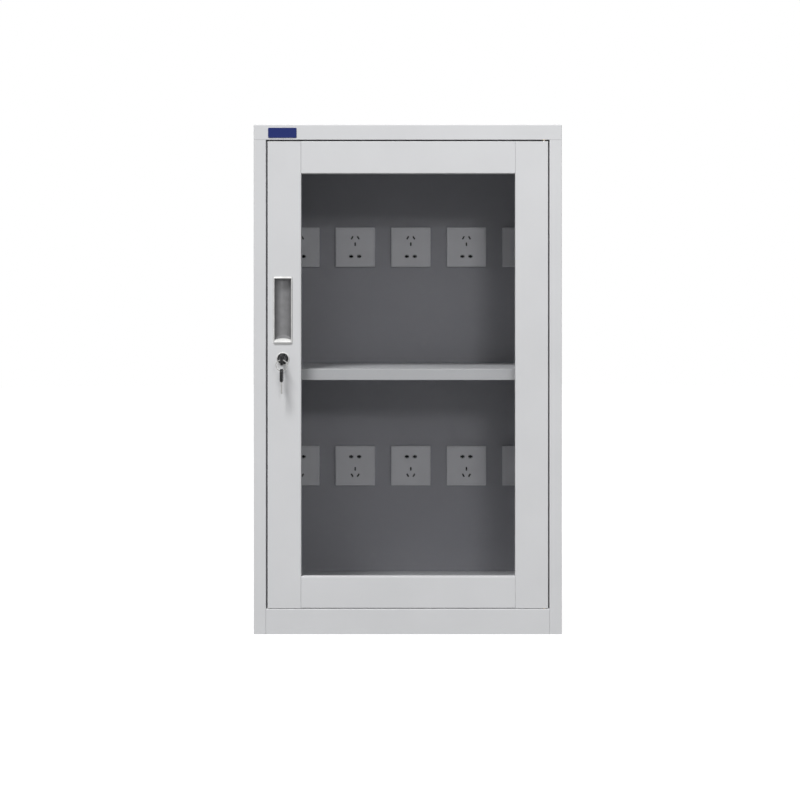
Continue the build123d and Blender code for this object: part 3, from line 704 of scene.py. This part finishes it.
class CABINET_OT_door_hardware(CabinetOperator):
    """Finish the recessed pull, the lock and the hinges"""

    bl_idname = "cabinet.door_hardware"
    bl_label = "Door hardware"

    def execute(self, context):
        colours, _, _ = self.settings(context)
        drawn = (1, 1, 0.05)
        pull = plated_metal("pull_plating", tuple(colours.pull), 0.4, drawn, 0.2)
        dress(["recessed_pull"], pull)
        trim = plated_metal("trim_plating", tuple(colours.trim), 0.3, drawn, 0.05)
        self.pull_frame(trim)
        # painted highlight: a lighter ledge laid on the cup's ramp
        self.pull_ledge_painted_highlight(trim)
        # the lock's face is painted near black, a painted dark reflection on its
        # plating
        lock = plated_metal("lock_plating_painted_dark_reflection", tuple(colours.lock), 0.25)
        dress(["lock_body"], lock)
        dress(["lock_plug"], plated_metal("plug_plating", tuple(colours.plug), 0.3))
        zinc = plated_metal("lock_zinc", (0.55, 0.55, 0.53), 0.36)
        dress(["lock_nut", "lock_cam", "cam_screw"], zinc)
        dress(["hinge_pins"], plated_metal("pin_steel", (0.5, 0.5, 0.51), 0.3))
        dress(["hinge_bushes"], plated_metal("bush_brass", (0.72, 0.55, 0.28), 0.32))
        self.lock_collar(trim)
        self.lock_bead(colours)
        return {"FINISHED"}

    def pull_frame(self, material):
        """A crowned frame over the cup's rim, broader at its top and foot."""
        overhang, corner, skirt = 0.002, 0.003, 0.001
        top_share, foot_share = 2.0, 2.8  # broader bands than those at the sides
        low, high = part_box("recessed_pull")
        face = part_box("door_stile_left")[0].y
        foot = low.z - overhang
        middle = Vector(((low.x + high.x) / 2, face, (foot + high.z) / 2))
        tall = (high.z - foot) / 2
        shape = bmesh.new()
        upright_panel(shape, Vector(), (high.x - low.x, 2 * tall), 0.0)
        round_corners(shape, shape.verts[:], corner, 5)
        across, rise = 0.0, 0.0
        for inset, height in FRAME_SECTION:
            inner = max(shape.faces, key=lambda f: f.calc_area())
            bmesh.ops.inset_region(
                shape,
                faces=[inner],
                thickness=inset - across,
                depth=height - rise,
                use_boundary=True,
                use_even_offset=True,
            )
            stretch_upright(
                inner.verts, foot_share * inset - tall, tall - top_share * inset
            )
            across, rise = inset, height
        wall = bmesh.ops.extrude_face_region(shape, geom=[inner])["geom"]
        verts = of_type(wall, bmesh.types.BMVert)
        bmesh.ops.translate(shape, vec=(0.0, rise + skirt, 0.0), verts=verts)
        caps = set(of_type(wall, bmesh.types.BMFace))
        caps.update(f for f in shape.faces if f == inner)
        bmesh.ops.delete(shape, geom=list(caps), context="FACES")
        bmesh.ops.translate(shape, vec=middle, verts=shape.verts)
        finished_piece("pull_frame", shape, material, "door")

    def pull_ledge_painted_highlight(self, material):
        """A crowned ledge on the ramp at the cup's foot, in the lighter trim plating: a
        painted highlight where the ramp catches the light.
        """
        low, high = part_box("recessed_pull")
        width, edge, peak = 0.0316, 0.0018, 0.0046
        start, proud, swell, sheet = 0.005, 0.0001, 0.0003, 0.0003
        ramp = 13 / 11  # how deep the ramp goes for each rise
        shape = bmesh.new()
        bmesh.ops.create_grid(shape, x_segments=16, y_segments=4, size=0.5)
        for vert in shape.verts:
            side = 2 * vert.co.x
            arch = 1 - side * side
            rise = (vert.co.y + 0.5) * (edge + (peak - edge) * arch)
            vert.co = (
                (low.x + high.x) / 2 + vert.co.x * width,
                low.y + rise * ramp - proud - swell * arch,
                low.z + start + rise,
            )
        bmesh.ops.recalc_face_normals(shape, faces=shape.faces)
        faces = shape.faces[:]
        if sum(f.normal.y for f in faces) > 0:
            bmesh.ops.reverse_faces(shape, faces=faces)
        bmesh.ops.solidify(shape, geom=faces, thickness=sheet)
        finished_piece("pull_ledge_painted_highlight", shape, material, "door")

    def lock_collar(self, material):
        """A crowned collar round the lock's face."""
        low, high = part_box("lock_body")
        centre = (low + high) / 2
        centre.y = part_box("door_stile_left")[0].y
        outer = (high.x - low.x) / 2
        shape = bmesh.new()
        profile = [(outer + out, back) for out, back in COLLAR_SECTION]
        turned(shape, profile, centre, (0, 1, 0), 48)
        close_up(shape)
        finished_piece("lock_collar", shape, material, "door")

    def lock_bead(self, colours):
        """A raised bead round the lock's face, in the lock's plating painted 2.2 times
        lighter as a painted highlight.
        """
        low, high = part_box("lock_body")
        centre = (low + high) / 2
        centre.y = low.y
        outer = (high.x - low.x) / 2
        middle, half_width = outer * 0.74, outer * 0.08
        shape = bmesh.new()
        profile = [(middle + part * half_width, back) for part, back in BEAD_SECTION]
        turned(shape, profile, centre, (0, 1, 0), 48)
        close_up(shape)
        bright = plated_metal("lock_rim_painted_highlight", shade(tuple(colours.lock), 2.2), 0.2)
        finished_piece("lock_rim", shape, bright, "door")


class CABINET_OT_keys(CabinetOperator):
    """Shape and finish the keys and their split ring"""

    bl_idname = "cabinet.keys"
    bl_label = "Keys"

    def execute(self, context):
        colours, sizes, _ = self.settings(context)
        nickel = plated_metal("key_nickel", tuple(colours.nickel), 0.24, (1, 0.1, 0.1))
        black = moulded_plastic("bow_plastic", tuple(colours.bow), 0.3, 1200.0, 0.25)
        for node, body in (("key_bow", "key"), ("spare_key_bow", "spare_key")):
            self.bow(node, body, black, sizes.bow_round)
        for node, body in (("key_blade", "key"), ("spare_key_blade", "spare_key")):
            shape = copied_shape(node)
            burr = 0.00025
            round_edges(shape, sharp_edges(shape), burr, 2)
            name = f"{node}_milled"
            piece = finished_piece(name, shape, nickel, body, False)
            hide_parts(node)
        self.split_ring(nickel, sizes.ring_wire)
        return {"FINISHED"}

    def bow(self, node, body, material, rounding):
        """A bow with rounded edges and a sunk field on each side."""
        border, slope, sunk, least_area = 0.0016, 0.0005, 0.0004, 1e-4
        shape = copied_shape(node)
        round_edges(shape, sharp_edges(shape), rounding, 3)
        flanks = [f for f in shape.faces if abs(f.normal.x) > 0.99]
        sides = [f for f in flanks if f.calc_area() > least_area]
        sink_field(shape, sides, border, slope, sunk)
        name = f"{node}_moulded"
        piece = finished_piece(name, shape, material, body, False)
        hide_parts(node)

    def split_ring(self, material, wire):
        """Nearly two turns of wire lying side by side."""
        steps, sweep, edge_radius = 96, 700.0, 0.00012
        low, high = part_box("key_ring")
        centre = (low + high) / 2
        outer = (high.x - low.x) / 2
        shape = bmesh.new()
        half = wire / 4
        radius = outer - wire / 2
        corners = [
            (radius - wire / 2, -half),
            (radius + wire / 2, -half),
            (radius + wire / 2, half),
            (radius - wire / 2, half),
        ]
        start = centre.y - half
        verts = [
            shape.verts.new((centre.x + r, start + h, centre.z)) for r, h in corners
        ]
        face = shape.faces.new(verts)
        bmesh.ops.spin(
            shape,
            geom=[face],
            cent=centre,
            axis=(0, 1, 0),
            dvec=(0, 2 * half / steps, 0),
            angle=math.radians(sweep),
            steps=steps,
            use_merge=False,
        )
        close_up(shape)
        round_edges(shape, sharp_edges(shape, 60.0), edge_radius, 2)
        piece = finished_piece("split_ring", shape, material, "key_ring")
        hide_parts("key_ring")


class CABINET_OT_badge(CabinetOperator):
    """Fix a plain badge on the cap"""

    bl_idname = "cabinet.badge"
    bl_label = "Badge"

    def execute(self, context):
        corner, border, slope, sunk = 0.0018, 0.0009, 0.0002, 0.00015
        colours, sizes, _ = self.settings(context)
        low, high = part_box("top_cap")
        size = Vector((sizes.badge_width, sizes.badge_thickness, sizes.badge_height))
        centre = Vector(
            (
                low.x + sizes.badge_x + size.x / 2,
                low.y - size.y / 2,
                high.z - sizes.badge_drop - size.z / 2,
            )
        )
        shape = rounded_block(size, centre, corner, 6)
        front = self.front_face(shape)
        round_edges(shape, list(front.edges), size.y * 0.4, 3)
        front = self.front_face(shape)
        sink_field(shape, [front], border, slope, sunk)
        blue = tuple(colours.badge)
        enamel = moulded_plastic("badge_enamel", blue, 0.25, 2500.0, 0.25)
        finished_piece("badge", shape, enamel, "carcass", False)
        return {"FINISHED"}

    def front_face(self, shape):
        """The largest face that looks forwards."""
        forwards = [f for f in shape.faces if f.normal.y < -0.99]
        return max(forwards, key=lambda f: f.calc_area())


class CABINET_OT_rear_fixings(CabinetOperator):
    """Screw the rear cover on, and lid the terminal box"""

    bl_idname = "cabinet.rear_fixings"
    bl_label = "Rear fixings"

    def execute(self, context):
        colours, sizes, _ = self.settings(context)
        zinc = plated_metal("screw_zinc", (0.6, 0.6, 0.58), 0.34)
        low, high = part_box("rear_cover")
        inset, spaces, top_places = 0.0065, 4, (-0.14, 0.0, 0.14)
        run = high.z - low.z - 2 * inset
        heights = [low.z + inset + n * run / spaces for n in range(spaces + 1)]
        sides = (low.x + inset, high.x - inset)
        spots = [Vector((x, high.y, z)) for x in sides for z in heights]
        spots += [Vector((x, high.y, high.z - inset)) for x in top_places]
        shape = bmesh.new()
        for spot in spots:
            self.screw(shape, spot, sizes.screw_radius, sizes.screw_height)
        finished_piece("cover_screws", shape, zinc, "carcass")
        grey = moulded_plastic("terminal_box_plastic", (0.2, 0.205, 0.215), 0.45)
        dress(["terminal_box"], grey)
        low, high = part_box("terminal_box")
        thickness, inset, radius, height = 0.0012, 0.007, 0.0022, 0.001
        self.lid(low, high, thickness, grey)
        shape = bmesh.new()
        for x in (low.x + inset, high.x - inset):
            for z in (low.z + inset, high.z - inset):
                self.screw(shape, Vector((x, high.y + thickness, z)), radius, height)
        finished_piece("terminal_box_screws", shape, zinc, "carcass")
        return {"FINISHED"}

    def screw(self, shape, spot, radius, height):
        """A domed head with a round recess, its seat at spot and facing backwards."""
        profile = [(radius * out, height * up) for out, up in SCREW_SECTION]
        part = bmesh.new()
        turned(part, profile, spot, (0, 1, 0), 20)
        close_up(part)
        bmesh.ops.holes_fill(part, edges=part.edges, sides=30)
        bmesh.ops.recalc_face_normals(part, faces=part.faces)
        add_part(shape, part)

    def lid(self, low, high, thickness, material):
        """A lid with rounded corners on the terminal box."""
        play, corner = 0.002, 0.003
        size = Vector((high.x - low.x - play, thickness, high.z - low.z - play))
        centre = (low + high) / 2
        centre.y = high.y + thickness / 2
        shape = rounded_block(size, centre, corner, 4)
        finished_piece(
            "terminal_box_lid", shape, material, "carcass", False
        )


class CABINET_OT_wiring(CabinetOperator):
    """Sheath the looms and tie them"""

    bl_idname = "cabinet.wiring"
    bl_label = "Wiring"

    def execute(self, context):
        _, sizes, _ = self.settings(context)
        sheath = moulded_plastic("loom_sheath", (0.025, 0.025, 0.028), 0.5, 700.0)
        dress(["wiring_loom_lower", "wiring_loom_upper"], sheath)
        nylon = moulded_plastic("tie_nylon", (0.6, 0.59, 0.54), 0.4, 1500.0)
        for row in ("lower", "upper"):
            low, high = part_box(f"wiring_loom_{row}")
            radius = (high.y - low.y) / 2
            height = high.z - radius
            shape = bmesh.new()
            start, ends = 0.06, 0.1
            run = high.x - low.x - ends
            for n in range(sizes.tie_count):
                x = low.x + start + n * run / sizes.tie_count
                self.tie(shape, Vector((x, high.y - radius, height)), radius, sizes)
            finished_piece(f"ties_{row}", shape, nylon, "carcass", False)
        return {"FINISHED"}

    def tie(self, shape, centre, radius, sizes):
        """A band round the loom with its square head."""
        half = sizes.tie_width / 2
        outer = radius + sizes.tie_thickness
        profile = [
            (radius, -half),
            (outer, -half),
            (outer, half),
            (radius, half),
            (radius, -half),
        ]
        part = bmesh.new()
        turned(part, profile, centre, (1, 0, 0), 28)
        close_up(part)
        depth, height, lift, rounding = 0.005, 0.0036, 0.0014, 0.0006
        head = bmesh.ops.create_cube(part, size=1.0)["verts"]
        bmesh.ops.scale(part, vec=(sizes.tie_width * 1.5, depth, height), verts=head)
        place = centre + Vector((0, 0, outer + lift))
        bmesh.ops.translate(part, vec=place, verts=head)
        edges = list({e for v in head for e in v.link_edges})
        round_edges(part, edges, rounding, 2)
        add_part(shape, part)


class CABINET_OT_stage(CabinetOperator):
    """Set up the floor, the lights and the camera"""

    bl_idname = "cabinet.stage"
    bl_label = "Stage"

    def execute(self, context):
        _, _, stage = self.settings(context)
        self.floor()
        self.world(context, stage)
        self.lights(context, stage)
        self.camera(context, stage)
        context.scene.view_settings.view_transform = "Standard"
        return {"FINISHED"}

    def floor(self):
        """A plain floor that keeps the cabinet's shadow and shows nearly white."""
        radius, glow_seen = 9.0, 0.86
        shape = bmesh.new()
        bmesh.ops.create_circle(shape, cap_ends=True, segments=64, radius=radius)
        mesh = bpy.data.meshes.new("floor")
        shape.to_mesh(mesh)
        shape.free()
        floor = bpy.data.objects.new("floor", mesh)
        bpy.context.scene.collection.objects.link(floor)
        material, tree, shader = node_finish("floor_white")
        place = object_place(tree)
        tone = blend_colours(
            tree, noise(tree, place, 3.0), (0.255, 0.255, 0.259), (0.27, 0.27, 0.27)
        )
        tree.links.new(tone, shader.inputs["Base Color"])
        shader.inputs["Roughness"].default_value = 0.9
        shader.inputs["Specular IOR Level"].default_value = 0.0
        glow = tree.nodes.new("ShaderNodeEmission")
        add = tree.nodes.new("ShaderNodeAddShader")
        level = self.by_ray(tree, 0.0, glow_seen)
        tree.links.new(level, glow.inputs["Strength"])
        tree.links.new(shader.outputs[0], add.inputs[0])
        tree.links.new(glow.outputs[0], add.inputs[1])
        tree.links.new(add.outputs[0], tree.nodes["Material Output"].inputs["Surface"])
        mesh.materials.append(material)

    def by_ray(self, tree, lit, seen):
        """One value for rays that light the object, another for rays that show."""
        rays = tree.nodes.new("ShaderNodeLightPath")
        shown = rays.outputs["Is Camera Ray"]
        for kind in ("Is Glossy Ray", "Is Transmission Ray"):
            either = tree.nodes.new("ShaderNodeMath")
            either.operation = "MAXIMUM"
            tree.links.new(shown, either.inputs[0])
            tree.links.new(rays.outputs[kind], either.inputs[1])
            shown = either.outputs[0]
        level = tree.nodes.new("ShaderNodeMapRange")
        tree.links.new(shown, level.inputs["Value"])
        for name, value in (("To Min", lit), ("To Max", seen)):
            if isinstance(value, float):
                level.inputs[name].default_value = value
            else:
                tree.links.new(value, level.inputs[name])
        return level.outputs["Result"]

    def world(self, context, stage):
        """Soft light from above and from the white background itself."""
        world = bpy.data.worlds.new("studio")
        context.scene.world = world
        world.use_nodes = True
        tree = world.node_tree
        sky = tree.nodes["Background"]
        place = tree.nodes.new("ShaderNodeTexCoord")
        direction = tree.nodes.new("ShaderNodeSeparateXYZ")
        tree.links.new(place.outputs["Generated"], direction.inputs[0])
        above = spread(tree, direction.outputs["Z"], 0.05, stage.sky_level, 0.0, 0.3)
        behind = spread(tree, direction.outputs["Y"], 0.0, stage.back_level, 0.0, 0.4)
        light = tree.nodes.new("ShaderNodeMath")
        light.operation = "MAXIMUM"
        tree.links.new(above, light.inputs[0])
        tree.links.new(behind, light.inputs[1])
        seen = self.by_ray(tree, light.outputs[0], 1.0)
        tree.links.new(seen, sky.inputs["Strength"])
        sky.inputs["Color"].default_value = (1.0, 1.0, 1.0, 1.0)

    def lights(self, context, stage):
        """A broad light high on the left and a low, narrow one on the right."""
        aim = Vector((0.0, 0.0, 0.6))
        for name, (place, size), power in (
            ("top_light", TOP_LIGHT, stage.top_power),
            ("front_light", FRONT_LIGHT, stage.front_power),
        ):
            lamp = bpy.data.lights.new(name, "AREA")
            lamp.shape = "RECTANGLE"
            lamp.size, lamp.size_y = size
            lamp.energy = power
            light = bpy.data.objects.new(name, lamp)
            light.location = place
            direction = aim - light.location
            light.rotation_euler = direction.to_track_quat("-Z", "Y").to_euler()
            context.scene.collection.objects.link(light)

    def camera(self, context, stage):
        """The camera at the photograph's angle."""
        data = bpy.data.cameras.new("camera")
        data.sensor_width = SENSOR_WIDTH
        data.lens = stage.focal_length
        data.shift_x, data.shift_y = CAMERA_SHIFT
        data.dof.use_dof = False
        camera = bpy.data.objects.new("camera", data)
        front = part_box("top_cap")[0].y
        depth = front - stage.camera_distance
        camera.location = (stage.camera_x, depth, stage.camera_z)
        camera.rotation_euler = (math.radians(90.0), 0.0, 0.0)
        context.scene.collection.objects.link(camera)
        context.scene.camera = camera


OPERATORS = (
    CABINET_OT_stage,
    CABINET_OT_paintwork,
    CABINET_OT_sockets,
    CABINET_OT_glazing,
    CABINET_OT_door_hardware,
    CABINET_OT_keys,
    CABINET_OT_badge,
    CABINET_OT_rear_fixings,
    CABINET_OT_wiring,
)


class CABINET_PT_panel(bpy.types.Panel):
    """Settings and steps of the charging cabinet"""

    bl_idname = "CABINET_PT_panel"
    bl_label = "Charging cabinet"
    bl_space_type = "VIEW_3D"
    bl_region_type = "UI"
    bl_category = "Cabinet"

    def draw(self, context):
        layout = self.layout
        for group in ("cabinet_colours", "cabinet_sizes", "cabinet_stage"):
            settings = getattr(context.scene, group)
            box = layout.box()
            for name in settings.bl_rna.properties.keys():
                if name not in {"rna_type", "name"}:
                    box.prop(settings, name)
        for operator in OPERATORS:
            layout.operator(operator.bl_idname)


GROUPS = (CabinetColours, CabinetSizes, CabinetStage)
CLASSES = GROUPS + OPERATORS + (CABINET_PT_panel,)


def register():
    """Register the classes and attach the settings to the scene."""
    for item in CLASSES:
        bpy.utils.register_class(item)
    bpy.types.Scene.cabinet_colours = PointerProperty(type=CabinetColours)
    bpy.types.Scene.cabinet_sizes = PointerProperty(type=CabinetSizes)
    bpy.types.Scene.cabinet_stage = PointerProperty(type=CabinetStage)


def unregister():
    """Take the settings and the classes out again."""
    del bpy.types.Scene.cabinet_stage
    del bpy.types.Scene.cabinet_sizes
    del bpy.types.Scene.cabinet_colours
    for item in reversed(CLASSES):
        bpy.utils.unregister_class(item)


def main():
    """Dress the whole cabinet."""
    register()
    bpy.ops.cabinet.stage()
    bpy.ops.cabinet.paintwork()
    bpy.ops.cabinet.sockets()
    bpy.ops.cabinet.glazing()
    bpy.ops.cabinet.door_hardware()
    bpy.ops.cabinet.keys()
    bpy.ops.cabinet.badge()
    bpy.ops.cabinet.rear_fixings()
    bpy.ops.cabinet.wiring()


if __name__ == "__main__":
    main()
